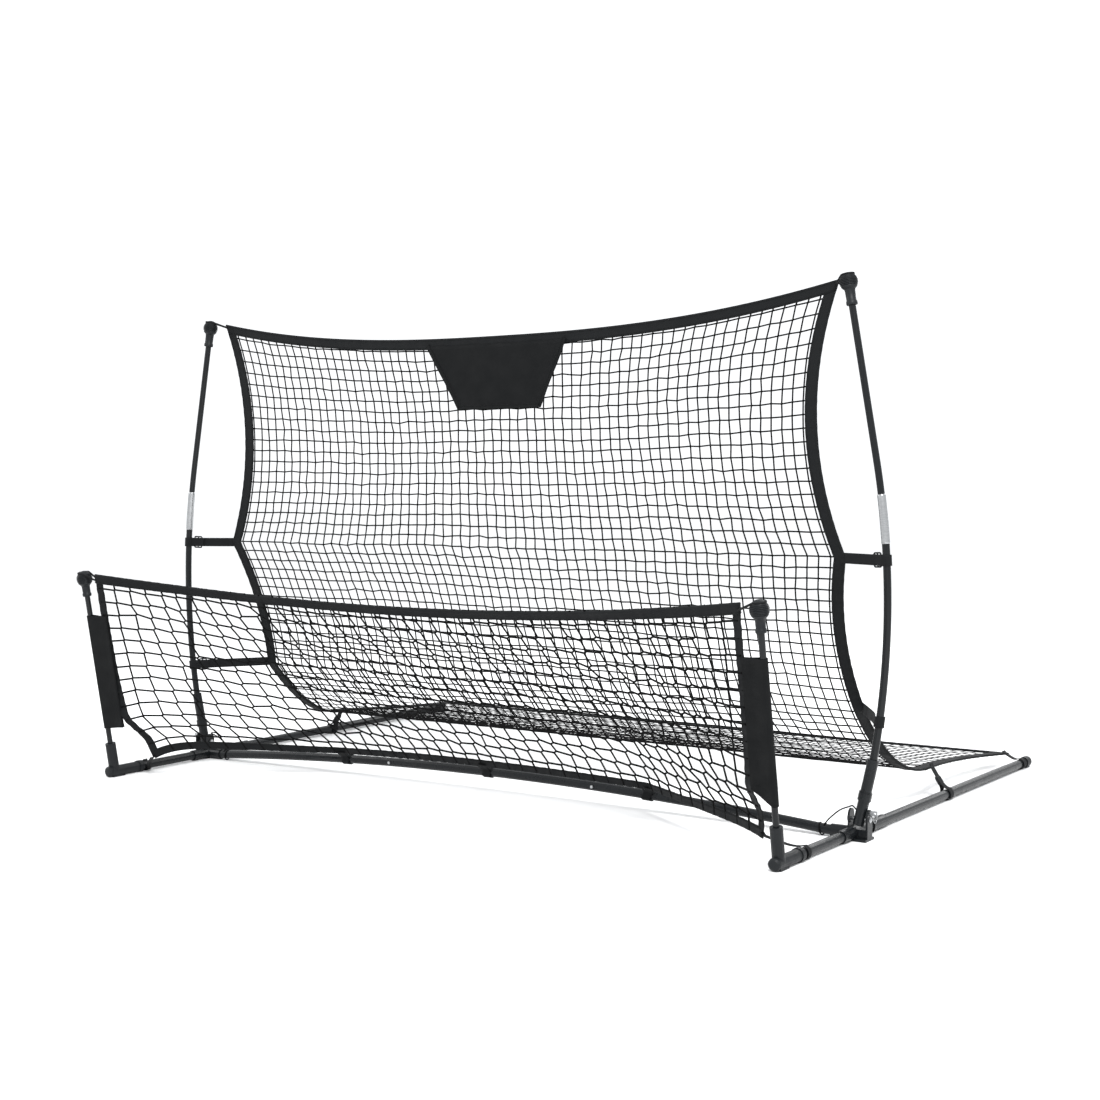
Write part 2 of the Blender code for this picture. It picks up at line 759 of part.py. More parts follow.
def make_side_straps(label, side):
    for name, station, height in (("high", 1.0, NET_HIGH.z), ("low", 1.985, NET_LOW.z + 0.006)):
        edge = tall_net(side, station)
        centre = pole_point(side, height)
        strap(
            f"side_strap_{name}_{label}",
            "webbing",
            centre,
            Vector((edge.x, edge.y, height)),
            pole_axis(side, height),
            LOWER_POLE_R + 0.0012,
            STRAP_WIDTH,
            0.0035,
        )


def make_tall_net():
    sheet("tall_net", "net_cord", tall_net, (-1, 1), (0, 1.996), 14, 12)


def make_target_patch():
    """Trapezoid of fabric in front of the tall net, under the middle of its top border."""
    def patch(u, v):
        half = 0.232 - 0.095 * v
        x = half * u
        point = tall_net(x / 0.95, 0.045 + 0.320 * v)
        return Vector((x, point.y - NET_THICK - 0.0008, point.z))

    sheet("target_patch", "patch_fabric", patch, (-1, 1), (0, 1), 8, 3)


# ---------------------------------------------------------------- assembly
def make_all():
    make_crossbar()
    make_low_net()
    make_front_straps()
    make_floor_net()
    make_tall_net()
    make_target_patch()
    for label, side in SIDES.items():
        make_snap_button(label, side)
        make_bracket(label, side)
        make_pivot_bolt(label, side)
        make_lock_pin(label, side)
        make_split_ring(label, side)
        make_rails(label, side)
        make_rail_plug(label, side)
        make_tee(label, side)
        make_end_cap(label, side)
        make_front_pole(label, side)
        make_pocket(label, side)
        make_corner_tie(label, side)
        make_rail_straps(label, side)
        make_sleeve(label, side)
        make_pole(label, side)
        make_pole_cap(label, side)
        make_side_straps(label, side)


def centre_on_footprint():
    """Hangs every object on one empty, which moves the whole frame forward."""
    empty = bpy.data.objects.new("rebounder_origin", None)
    parts.objects.link(empty)
    for obj in list(parts.objects) + list(cutters.objects):
        if obj is not empty:
            obj.parent = empty
    empty.location = (0, -ORIGIN_Y, 0)


clear_scene()
parts = new_collection(COLLECTION)
cutters = new_collection("cutters")
cutters.hide_render = True
make_all()
centre_on_footprint()
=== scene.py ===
"""Looks of the two-net ball rebounder: netting, webbing, straps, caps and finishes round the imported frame."""
import json
import math
import random

import bmesh
import bpy
from mathutils import Matrix, Vector


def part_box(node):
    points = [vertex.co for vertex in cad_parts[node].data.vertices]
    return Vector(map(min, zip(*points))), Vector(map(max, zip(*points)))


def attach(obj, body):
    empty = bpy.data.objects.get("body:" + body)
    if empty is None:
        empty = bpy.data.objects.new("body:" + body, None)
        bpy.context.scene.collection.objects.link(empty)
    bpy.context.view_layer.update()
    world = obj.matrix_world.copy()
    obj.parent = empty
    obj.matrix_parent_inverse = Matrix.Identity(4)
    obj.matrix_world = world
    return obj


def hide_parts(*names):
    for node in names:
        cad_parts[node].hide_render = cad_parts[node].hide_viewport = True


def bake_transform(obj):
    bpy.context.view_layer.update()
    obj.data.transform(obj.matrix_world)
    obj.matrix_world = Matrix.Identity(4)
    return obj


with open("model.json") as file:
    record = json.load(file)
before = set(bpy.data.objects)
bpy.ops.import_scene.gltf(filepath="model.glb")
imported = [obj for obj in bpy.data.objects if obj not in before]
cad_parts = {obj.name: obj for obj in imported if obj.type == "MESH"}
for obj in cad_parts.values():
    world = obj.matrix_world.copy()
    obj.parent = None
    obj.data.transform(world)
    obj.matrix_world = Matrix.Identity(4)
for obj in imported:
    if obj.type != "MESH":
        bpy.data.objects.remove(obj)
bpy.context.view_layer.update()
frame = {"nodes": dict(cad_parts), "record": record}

SIDES = {"left": -1, "right": 1}


# ---------------------------------------------------------------- camera, light and floor
PIVOT = (Vector(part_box("pivot_bolt_right")[0]) + Vector(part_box("pivot_bolt_right")[1])) / 2
PIVOT_Z = PIVOT.z
PIVOT_Y = PIVOT.y

CAMERA_PLACE = Vector((2.585, PIVOT_Y - 3.616, 0.837))
CAMERA_TURN = 33.42
CAMERA_DIP = 2.31
CAMERA_LENS = 53.7


def make_camera():
    data = bpy.data.cameras.new("camera")
    data.lens = CAMERA_LENS
    data.sensor_width = 36
    data.shift_y = 0.0016
    data.clip_end = 100
    camera = bpy.data.objects.new("camera", data)
    bpy.context.scene.collection.objects.link(camera)
    camera.location = CAMERA_PLACE
    camera.rotation_euler = (math.radians(90 - CAMERA_DIP), 0, math.radians(CAMERA_TURN))
    bpy.context.scene.camera = camera


def make_light(name, place, target, size, power):
    data = bpy.data.lights.new(name, "AREA")
    data.size = size
    data.energy = power
    light = bpy.data.objects.new(name, data)
    bpy.context.scene.collection.objects.link(light)
    light.location = place
    light.rotation_euler = (Vector(target) - Vector(place)).to_track_quat("-Z", "Y").to_euler()


def make_studio():
    world = bpy.data.worlds.new("studio")
    bpy.context.scene.world = world
    world.use_nodes = True
    world.node_tree.nodes["Background"].inputs["Color"].default_value = (0.97, 0.985, 1, 1)
    world.node_tree.nodes["Background"].inputs["Strength"].default_value = 1.15
    bpy.context.scene.view_settings.view_transform = "Standard"
    make_light("key", (3.2, -3.5, 4.5), (0, 0, 0.4), 1.5, 340)
    make_light("fill", (-4.0, -2.5, 3.0), (0, 0, 0.4), 3.0, 70)
    make_light("back", (0.5, 4.5, 3.5), (0, 0, 0.5), 3.0, 90)
    mesh = bpy.data.meshes.new("floor")
    bm = bmesh.new()
    bmesh.ops.create_grid(bm, x_segments=1, y_segments=1, size=40)
    bm.to_mesh(mesh)
    bm.free()
    floor = bpy.data.objects.new("floor", mesh)
    bpy.context.scene.collection.objects.link(floor)
    floor.data.materials.append(floor_finish())


# ---------------------------------------------------------------- material helpers
class Value:
    """A number socket that takes + - * and ** as Math nodes."""

    def __init__(self, nodes, socket):
        self.nodes = nodes
        self.socket = socket

    def _math(self, operation, first, second):
        return self.nodes.node("ShaderNodeMath", {"operation": operation}, {0: first, 1: second})

    def __add__(self, other):
        return self._math("ADD", self, other)

    __radd__ = __add__

    def __mul__(self, other):
        return self._math("MULTIPLY", self, other)

    __rmul__ = __mul__

    def __sub__(self, other):
        return self._math("SUBTRACT", self, other)

    def __rsub__(self, other):
        return self._math("SUBTRACT", other, self)

    def __pow__(self, other):
        return self._math("POWER", self, other)


class Finish:
    """A Principled material and the nodes that feed it."""

    def __init__(self, name, **sockets):
        self.material = bpy.data.materials.new(name)
        self.material.use_nodes = True
        self.tree = self.material.node_tree
        self.shader = self.tree.nodes["Principled BSDF"]
        for socket, value in sockets.items():
            self.set(socket.replace("_", " "), value)

    def set(self, socket, value):
        target = self.shader.inputs[socket]
        if isinstance(value, Value):
            self.tree.links.new(value.socket, target)
        else:
            target.default_value = value

    def node(self, kind, settings=None, inputs=None, out=0):
        made = self.tree.nodes.new(kind)
        for key, value in (settings or {}).items():
            if key == "stops":
                for stop, (place, colour) in zip(made.color_ramp.elements, value):
                    stop.position = place
                    stop.color = colour
            else:
                setattr(made, key, value)
        for key, value in (inputs or {}).items():
            if isinstance(value, Value):
                self.tree.links.new(value.socket, made.inputs[key])
            else:
                made.inputs[key].default_value = value
        return Value(self, made.outputs[out])

    def place(self):
        return self.node("ShaderNodeTexCoord", out="Object")

    def noise(self, scale, detail=3.0, vector=None):
        return self.node(
            "ShaderNodeTexNoise", None, {"Vector": vector or self.place(), "Scale": scale, "Detail": detail}
        )

    def mix(self, factor, first, second):
        return self.node(
            "ShaderNodeMix", {"data_type": "RGBA"}, {0: factor, 6: first, 7: second}, 2
        )

    def bump(self, height, strength, distance):
        normal = self.node(
            "ShaderNodeBump", None, {"Height": height, "Strength": strength, "Distance": distance}
        )
        self.set("Normal", normal)

    def range(self, value, low, high, new_low, new_high):
        return self.node(
            "ShaderNodeMapRange",
            None,
            {"Value": value, "From Min": low, "From Max": high, "To Min": new_low, "To Max": new_high},
        )


def grey(level, blue=1.0):
    return (level, level * (1 + (blue - 1) / 2), level * blue, 1)


def floor_finish():
    made = Finish("studio_floor", Base_Color=grey(0.92), Roughness=0.6)
    made.set("Specular IOR Level", 0.2)
    return made.material


def powder_coat():
    made = Finish("black_powder_coat")
    wear = made.noise(9.0)
    grain = made.noise(900.0, 2.0)
    made.set("Base Color", made.mix(wear, grey(0.004, 1.3), grey(0.010, 1.3)))
    made.set("Roughness", made.range(made.noise(40.0), 0.3, 0.7, 0.22, 0.34))
    made.bump(grain, 0.25, 0.0002)
    made.set("Specular IOR Level", 0.20)
    return made.material


def moulded_plastic():
    made = Finish("black_moulded_plastic")
    made.set("Base Color", made.mix(made.noise(14.0), grey(0.005, 1.3), grey(0.012, 1.3)))
    made.set("Specular IOR Level", 0.18)
    made.set("Roughness", made.range(made.noise(60.0), 0.3, 0.7, 0.38, 0.56))
    made.bump(made.noise(1400.0, 2.0), 0.3, 0.0002)
    return made.material


def glass_fibre():
    """Pultruded rod: faint streaks along its length."""
    made = Finish("pultruded_rod")
    stretched = made.node(
        "ShaderNodeMapping", None, {"Vector": made.place(), "Scale": (260.0, 260.0, 5.0)}
    )
    streaks = made.noise(1.0, 4.0, stretched)
    made.set("Base Color", made.mix(streaks, grey(0.003, 1.3), grey(0.009, 1.3)))
    made.set("Specular IOR Level", 0.22)
    made.set("Roughness", made.range(streaks, 0.3, 0.7, 0.16, 0.28))
    made.bump(streaks, 0.2, 0.0003)
    return made.material


def bright_zinc():
    made = Finish("bright_zinc", Metallic=1.0)
    brushed = made.node(
        "ShaderNodeMapping", None, {"Vector": made.place(), "Scale": (30.0, 30.0, 900.0)}
    )
    lines = made.noise(1.0, 3.0, brushed)
    made.set("Base Color", made.mix(made.noise(60.0), grey(0.30, 1.04), grey(0.46, 1.03)))
    made.set("Roughness", made.range(lines, 0.3, 0.7, 0.20, 0.38))
    made.bump(lines, 0.15, 0.0002)
    return made.material


def braided_cord(name, level):
    """Fine diagonal braid across a net cord, with painted shade in its grooves."""
    made = Finish(name)
    place = made.place()
    braid = made.node(
        "ShaderNodeTexWave",
        {"bands_direction": "DIAGONAL"},
        {"Vector": place, "Scale": 420.0, "Distortion": 1.5},
        "Fac",
    )
    # Base colour: painted shade in the braid's grooves and lighter ridges, following the bump, with random patches
    # from noise.
    made.set("Base Color", made.mix(braid * made.noise(25.0), grey(level * 0.6, 1.1), grey(level * 2.2, 1.1)))
    made.set("Roughness", made.range(made.noise(90.0), 0.3, 0.7, 0.70, 0.90))
    made.bump(braid, 0.5, 0.0004)
    made.set("Specular IOR Level", 0.10)
    return made.material


def woven(name, level, rib, sheen, twill=False):
    """Cloth that follows the piece's own UV map, in metres: ribs and weft."""
    made = Finish(name)
    uv = made.node("ShaderNodeTexCoord", out="UV")
    across = made.node("ShaderNodeTexWave", {"bands_direction": "X"}, {"Vector": uv, "Scale": rib}, "Fac")
    along = made.node("ShaderNodeTexWave", {"bands_direction": "Y"}, {"Vector": uv, "Scale": rib}, "Fac")
    weave = across * along if not twill else across * 0.7 + along * 0.5
    cloud = made.noise(22.0)
    dark, light = grey(level * 0.55, 1.25), grey(level * 1.9, 1.2)
    made.set("Base Color", made.mix(weave * 0.6 + cloud * 0.4, dark, light))
    made.set("Roughness", made.range(cloud, 0.3, 0.7, 0.62, 0.82))
    made.bump(weave + made.noise(300.0) * 0.4, 0.45, 0.0005)
    made.set("Sheen Weight", sheen)
    made.set("Specular IOR Level", 0.12)
    return made.material


def make_finishes():
    return {
        "painted_steel": powder_coat(),
        "black_plastic": moulded_plastic(),
        "fibreglass": glass_fibre(),
        "bright_steel": bright_zinc(),
        "net_cord": braided_cord("net_cord", 0.003),
        "webbing": woven("webbing", 0.0055, 160.0, 0.015),
        "patch_fabric": woven("patch_fabric", 0.003, 420.0, 0.0, twill=True),
        "thread": braided_cord("stitch_thread", 0.012),
    }


make_camera()
finishes = make_finishes()
make_studio()


# ---------------------------------------------------------------- lines of the frame
def centre_of(node):
    low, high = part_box(node)
    return (Vector(low) + Vector(high)) / 2


def at(x, y, z):
    """A point measured from the line through both pivots, as the frame's drawings give it."""
    return Vector((x, PIVOT_Y + y, z))


RAIL_Z = 0.016
RAIL_R = 0.0127
CROSSBAR_R = 0.0125
CROSSBAR_ARCH = 0.042
ARCH_END = 0.998
POLE_CREST_X = 1.141
POLE_CREST_Z = 0.550
POLE_BEND = 0.25
POLE_BENT = 0.35
FRONT_LEAN = -0.1825
TEE_SOCKET_Y = -0.385
POLE_R = 0.0085
LOWER_POLE_R = 0.0092
FRONT_POLE_R = 0.0075
CAP_R = 0.0225
CAP_Z = 1.315
FRONT_CAP_Z = 0.575

NET_TOP = Vector((1.000, 0.030, 1.324))
NET_HIGH = Vector((1.008, 0.060, 0.663))
NET_LOW = Vector((1.000, 0.205, 0.278))
NET_RAIL = Vector((1.035, 0.580, 0.085))
NET_REAR = Vector((1.050, 1.190, 0.040))


def rail_point(side, y, z=RAIL_Z):
    return at(side * (1.060 + 0.026 * y), y, z)


def crossbar_point(x):
    return at(x, 0, RAIL_Z + CROSSBAR_ARCH * max(0.0, 1 - (x / ARCH_END) ** 2))


def pole_point(side, z):
    up = z - POLE_CREST_Z
    bent = max(-POLE_BENT, min(POLE_BENT, up))
    slope = 2 * POLE_BEND * POLE_BENT if up > 0 else 0.23
    return at(side * (POLE_CREST_X - POLE_BEND * bent**2 - slope * (abs(up) - abs(bent))), 0, z)


def pole_axis(side, z):
    return (pole_point(side, z + 0.01) - pole_point(side, z - 0.01)).normalized()


def front_pole_point(side, z):
    return rail_point(side, TEE_SOCKET_Y) + Vector((0, FRONT_LEAN, 1)) * (z - RAIL_Z)


FRONT_AXIS = Vector((0, FRONT_LEAN, 1)).normalized()


# ---------------------------------------------------------------- surfaces of the nets
def bowed(start, end, t, inward, sag):
    swell = 4 * t * (1 - t)
    return start.lerp(end, t) + Vector((-inward * swell, 0, -sag * swell))


def tall_net_side(v):
    legs = (
        (NET_TOP, NET_HIGH, 0.068, 0.0),
        (NET_HIGH, NET_LOW, 0.026, 0.0),
        (NET_LOW, NET_RAIL, 0.005, 0.055),
        (NET_RAIL, NET_REAR, 0.030, 0.0),
    )
    leg = max(0, min(int(v), 3))
    return bowed(*legs[leg][:2], v - leg, *legs[leg][2:])


def tall_net(u, v):
    """The tall net: u from -1 to 1 across, v from 0 at the top to 4 at the rear corners."""
    edge = tall_net_side(v)
    middle = 1 - abs(u) ** 2.5
    dip = 0.088 * max(0.0, 1 - v) ** 2
    back = 0.030 * math.sin(math.pi * min(v, 3) / 3)
    return at(u * edge.x, edge.y + back * middle, edge.z - dip * middle)


def low_net_bottom(x):
    beyond = max(0.0, (abs(x) - 0.5) / 0.45)
    near = crossbar_point(min(abs(x), 0.5)) + Vector((0, -0.030, 0.022))
    point = near.lerp(at(0.965, -0.335, 0.054), beyond)
    lift = (0.040 if x < 0 else 0.012) * beyond * (1 - beyond**8)
    return Vector((x, point.y, point.z + lift))


def low_net(u, v):
    """The low net in front: u from -1 to 1 across, v from 0 at the top to 1 at the bottom."""
    swell = 1 - u * u
    top = at(1.004 * u, -0.466 + 0.130 * swell, 0.588 - 0.063 * swell)
    point = top.lerp(low_net_bottom(0.95 * u), v)
    point.x = u * (1.004 - (0.059 if u < 0 else 0.014) * v**4)
    sewn = max(0.0, min(1.0, (point.z - 0.100) / 0.09))
    sewn = sewn * sewn * (3 - 2 * sewn)
    point.y += (front_pole_point(1, point.z).y - point.y) * sewn * abs(u) ** 8
    return point


def facing(surface, u, v):
    """The unit normal of a net's surface, towards the front and up."""
    du = surface(min(u + 0.01, 1), v) - surface(max(u - 0.01, -1), v)
    dv = surface(u, v + 0.01) - surface(u, v - 0.01)
    return dv.cross(du).normalized()


# ---------------------------------------------------------------- piece makers
def new_object(name, mesh, slot):
    made = bpy.data.objects.new(name, mesh)
    bpy.context.scene.collection.objects.link(made)
    if slot and not mesh.materials:
        mesh.materials.append(finishes[slot])
    return made


def mesh_of(name, points, faces, uvs=None):
    mesh = bpy.data.meshes.new(name)
    mesh.from_pydata(points, [], faces)
    if uvs:
        layer = mesh.uv_layers.new(name="UVMap")
        for loop in mesh.loops:
            layer.data[loop.index].uv = uvs[loop.vertex_index]
    bm = bmesh.new()
    bm.from_mesh(mesh)
    bmesh.ops.recalc_face_normals(bm, faces=bm.faces)
    bm.to_mesh(mesh)
    bm.free()
    mesh.shade_smooth()
    return mesh


def loft(rings, closed_ends=True, cyclic=False):
    """Faces that join rings of points, all with the same count, into one tube."""
    count = len(rings[0])
    faces = []
    pairs = len(rings) if cyclic else len(rings) - 1
    for j in range(pairs):
        k = (j + 1) % len(rings)
        for i in range(count):
            n = (i + 1) % count
            faces.append((j * count + i, j * count + n, k * count + n, k * count + i))
    if closed_ends and not cyclic:
        faces.append(tuple(range(count)))
        faces.append(tuple((len(rings) - 1) * count + i for i in reversed(range(count))))
    return faces


def tube(name, slot, points, radius, sides=12, cyclic=False, taper=None):
    """A round tube along points, with a frame that turns as little as it can."""
    rings = []
    count = len(points)
    normal = None
    for i, point in enumerate(points):
        ahead = points[(i + 1) % count] if cyclic or i < count - 1 else point
        behind = points[i - 1] if cyclic or i > 0 else point
        tangent = (ahead - behind).normalized()
        if normal is None:
            other = Vector((0, 0, 1)) if abs(tangent.z) < 0.9 else Vector((1, 0, 0))
            normal = other
        normal = (normal - tangent * normal.dot(tangent)).normalized()
        third = tangent.cross(normal)
        r = radius if taper is None else radius * taper(i / (count - 1))
        rings.append(
            [
                point + (normal * math.cos(a) + third * math.sin(a)) * r
                for a in (2 * math.pi * k / sides for k in range(sides))
            ]
        )
    faces = loft(rings, True, cyclic)
    return new_object(name, mesh_of(name, [p for ring in rings for p in ring], faces), slot)


def band_section(width, thick, roundness=0.5):
    """Half-width and height pairs round a flat band's rounded section, with a slight hollow along the middle."""
    w = width / 2
    t = thick / 2
    r = t * roundness
    return [
        (-w, -t + r), (-w + r, -t), (-w * 0.5, -t * 0.8), (0, -t * 0.75), (w * 0.5, -t * 0.8), (w - r, -t),
        (w, -t + r), (w, t - r), (w - r, t), (w * 0.5, t * 0.8), (0, t * 0.75), (-w * 0.5, t * 0.8),
        (-w + r, t), (-w, t - r),
    ]


def band(name, slot, stations, width, thick, cyclic=False, pucker=0.0, seed=1):
    """A flat band along stations of (centre, across, normal), puckered a little as sewn tape is."""
    chance = random.Random(seed)
    rings = []
    uvs = []
    run = 0.0
    last = None
    section = band_section(width, thick)
    for centre, across, normal in stations:
        run += (centre - last).length if last is not None else 0.0
        last = centre
        lift = pucker * math.sin(run * 210 + chance.uniform(-0.6, 0.6))
        rings.append([centre + across * a + normal * (b + lift) for a, b in section])
        uvs += [(run, a) for a, _ in section]
    faces = loft(rings, True, cyclic)
    return new_object(name, mesh_of(name, [p for ring in rings for p in ring], faces, uvs), slot)


def stitches(name, stations, offset, above, pitch=0.006, length=0.0042, radius=0.00045):
    """Short thread stitches along a band's stations, offset across it and just above its face."""
    points = []
    faces = []
    run = 0.0
    due = 0.0
    for (a, across, normal), (b, _, _) in zip(stations, stations[1:]):
        step = (b - a).length
        while due < run + step:
            t = (due - run) / step
            middle = a.lerp(b, t) + across * offset + normal * above
            forward = (b - a).normalized()
            base = len(points)
            for end in (-1, 1):
                for k in range(4):
                    turn = math.pi / 4 + math.pi / 2 * k
                    side = across * math.cos(turn) * radius + normal * math.sin(turn) * radius * 1.4
                    points.append(middle + forward * end * length / 2 + side)
            faces += [(base + k, base + (k + 1) % 4, base + 4 + (k + 1) % 4, base + 4 + k) for k in range(4)]
            faces += [(base + 3, base + 2, base + 1, base), (base + 4, base + 5, base + 6, base + 7)]
            due += pitch
        run += step
    return new_object(name, mesh_of(name, points, faces), "thread")


def lathe(name, slot, profile, origin, axis, steps=48):
    """A profile of (radius, height), top to bottom, turned about an axis through origin."""
    axis = Vector(axis).normalized()
    side = Vector((1, 0, 0)) if abs(axis.x) < 0.9 else Vector((0, 1, 0))
    side = (side - axis * side.dot(axis)).normalized()
    third = axis.cross(side)
    points = []
    rings = []
    for radius, height in profile:
        if radius < 1e-6:
            rings.append([len(points)])
            points.append(origin + axis * height)
            continue
        rings.append(list(range(len(points), len(points) + steps)))
        for k in range(steps):
            a = 2 * math.pi * k / steps
            points.append(origin + axis * height + (side * math.cos(a) + third * math.sin(a)) * radius)
    faces = []
    for upper, lower in zip(rings, rings[1:]):
        for k in range(steps):
            n = (k + 1) % steps
            if len(upper) == 1:
                faces.append((upper[0], lower[k], lower[n]))
            elif len(lower) == 1:
                faces.append((upper[k], lower[0], upper[n]))
            else:
                faces.append((upper[k], lower[k], lower[n], upper[n]))
    return new_object(name, mesh_of(name, points, faces), slot)


# ---------------------------------------------------------------- netting, with geometry nodes
def socket_id(group, label):
    return next(i.identifier for i in group.interface.items_tree if getattr(i, "name", "") == label)


def strand_tree(slot):
    """Lines of a net made round cords: Mesh to Curve, then Curve to Mesh with a small round profile."""
    group = bpy.data.node_groups.new("net_strands", "GeometryNodeTree")
    group.interface.new_socket("Lines", in_out="INPUT", socket_type="NodeSocketGeometry")
    for label, value in (("Cord radius", 0.0014), ("Knot swell", 1.5)):
        made = group.interface.new_socket(label, in_out="INPUT", socket_type="NodeSocketFloat")
        made.default_value = value
    made = group.interface.new_socket("Cord sides", in_out="INPUT", socket_type="NodeSocketInt")
    made.default_value = 6
    group.interface.new_socket("Strands", in_out="OUTPUT", socket_type="NodeSocketGeometry")
    nodes = group.nodes
    link = group.links.new
    entry = nodes.new("NodeGroupInput")
    leave = nodes.new("NodeGroupOutput")
    curve = nodes.new("GeometryNodeMeshToCurve")
    ring = nodes.new("GeometryNodeCurvePrimitiveCircle")
    sweep = nodes.new("GeometryNodeCurveToMesh")
    knot = nodes.new("GeometryNodeMeshIcoSphere")
    knot_points = nodes.new("GeometryNodeInstanceOnPoints")
    swell = nodes.new("ShaderNodeMath")
    join = nodes.new("GeometryNodeJoinGeometry")
    real = nodes.new("GeometryNodeRealizeInstances")
    paint = nodes.new("GeometryNodeSetMaterial")
    sweep.inputs["Fill Caps"].default_value = True
    swell.operation = "MULTIPLY"
    knot.inputs["Subdivisions"].default_value = 1
    paint.inputs["Material"].default_value = finishes[slot]
    link(entry.outputs["Lines"], curve.inputs["Mesh"])
    link(entry.outputs["Cord sides"], ring.inputs["Resolution"])
    link(entry.outputs["Cord radius"], ring.inputs["Radius"])
    link(curve.outputs["Curve"], sweep.inputs["Curve"])
    link(ring.outputs["Curve"], sweep.inputs["Profile Curve"])
    link(entry.outputs["Cord radius"], swell.inputs[0])
    link(entry.outputs["Knot swell"], swell.inputs[1])
    link(swell.outputs[0], knot.inputs["Radius"])
    link(entry.outputs["Lines"], knot_points.inputs["Points"])
    link(knot.outputs["Mesh"], knot_points.inputs["Instance"])
    link(sweep.outputs["Mesh"], join.inputs["Geometry"])
    link(knot_points.outputs["Instances"], join.inputs["Geometry"])
    link(join.outputs["Geometry"], real.inputs["Geometry"])
    link(real.outputs["Geometry"], paint.inputs["Geometry"])
    link(paint.outputs["Geometry"], leave.inputs["Strands"])
    return group


def strands(name, slot, polylines, radius, swell, sides=6):
    """One mesh of round cords along every polyline."""
    points = []
    edges = []
    for line in polylines:
        base = len(points)
        points += line
        edges += [(base + i, base + i + 1) for i in range(len(line) - 1)]
    lines = bpy.data.meshes.new(name + "_lines")
    lines.from_pydata(points, edges, [])
    holder = bpy.data.objects.new(name + "_lines", lines)
    bpy.context.scene.collection.objects.link(holder)
    group = strand_tree(slot)
    step = holder.modifiers.new("strands", "NODES")
    step.node_group = group
    step[socket_id(group, "Cord radius")] = radius
    step[socket_id(group, "Knot swell")] = swell
    step[socket_id(group, "Cord sides")] = sides
    graph = bpy.context.evaluated_depsgraph_get()
    mesh = bpy.data.meshes.new_from_object(holder.evaluated_get(graph))
    mesh.name = name
    bpy.data.objects.remove(holder)
    bpy.data.meshes.remove(lines)
    bpy.data.node_groups.remove(group)
    mesh.shade_smooth()
    return new_object(name, mesh, slot)


def even_rows(surface, u, last, pitch):
    """Values of v that step down a surface by about the same length each."""
    samples = 400
    run = [0.0]
    for i in range(samples):
        a = surface(u, last * i / samples)
        run.append(run[-1] + (surface(u, last * (i + 1) / samples) - a).length)
    rows = max(2, round(run[-1] / pitch))
    result = []
    i = 0
    for j in range(rows + 1):
        goal = run[-1] * j / rows
        while i < samples - 1 and run[i + 1] < goal:
            i += 1
        share = (goal - run[i]) / max(run[i + 1] - run[i], 1e-9)
        result.append(last * (i + share) / samples)
    return result


# ---------------------------------------------------------------- tall net
FOLD_START = at(0, 0.230, 0.270)
FOLD_END = at(0, 0.560, 0.100)
TALL_COLUMNS = 64
TALL_PITCH = 0.030
FLOOR_PITCH = 0.047  # the part on the floor is pulled long


def over_fold(piece):
    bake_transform(piece)


def make_tall_net():
    """Square netting, one grid from the top border to the rear rail ends, slightly uneven."""
    chance = random.Random(7)
    rows = even_rows(tall_net, 0.6, 4, TALL_PITCH)
    low = next(j for j, v in enumerate(rows) if v > 2.25)
    bend = next(j for j, v in enumerate(rows) if v > 3.05)
    slack = round((len(rows) - 1 - bend) * TALL_PITCH / FLOOR_PITCH)
    rows = rows[: bend + 1] + [rows[bend] + (4 - rows[bend]) * (k + 1) / slack for k in range(slack)]
    grid = []
    for v in rows:
        line = []
        for i in range(TALL_COLUMNS + 1):
            u = 2 * i / TALL_COLUMNS - 1
            free = min(1.0, 6 * (1 - abs(u)), 12 * v, 8 * (4 - v))
            lean = Vector((chance.gauss(0, 0.0013), chance.gauss(0, 0.0005), chance.gauss(0, 0.0012)))
            sway = Vector((0.0022 * math.sin(7 * v + 5 * u), 0, 0.0018 * math.sin(9 * u + 4 * v)))
            if v > 2.25:
                lean.z *= 0.25
                sway.z *= 0.2
            line.append(tall_net(u * 0.995, v) + (lean + sway) * free)
        grid.append(line)
    for name, node, part, radius, swell in (
        ("tall_net_cords", "tall_net", grid[: low + 1], 0.00205, 1.25),
        ("bend_net_cords", "net_bend", grid[low : bend + 1], 0.00140, 1.25),
        ("floor_net_cords", "net_floor", grid[bend:], 0.00100, 1.2),
    ):
        cords = part[1:] if node == "tall_net" else part[:-1] if node == "net_floor" else part[1:-1]
        cords = cords + [[line[i] for line in part] for i in range(1, TALL_COLUMNS)]
        net = strands(name, "net_cord", cords, radius, swell, 5)
        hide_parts(node)
        if node == "net_floor":
            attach(net, "base")
        else:
            over_fold(net)


def side_stations(side, surface, u, low, high, count):
    result = []
    for i in range(count + 1):
        v = low + (high - low) * i / count
        centre = surface(side * u, v)
        across = (surface(side, v) - surface(side * (u - 0.02), v)).normalized()
        result.append((centre, across, facing(surface, side * u, max(v, 0.011))))
    return result


def cross_stations(surface, v, low, high, count):
    result = []
    for i in range(count + 1):
        u = low + (high - low) * i / count
        down = (surface(u, v + 0.01) - surface(u, v - 0.01)).normalized()
        result.append((surface(u, v), down, facing(surface, u, v)))
    return result


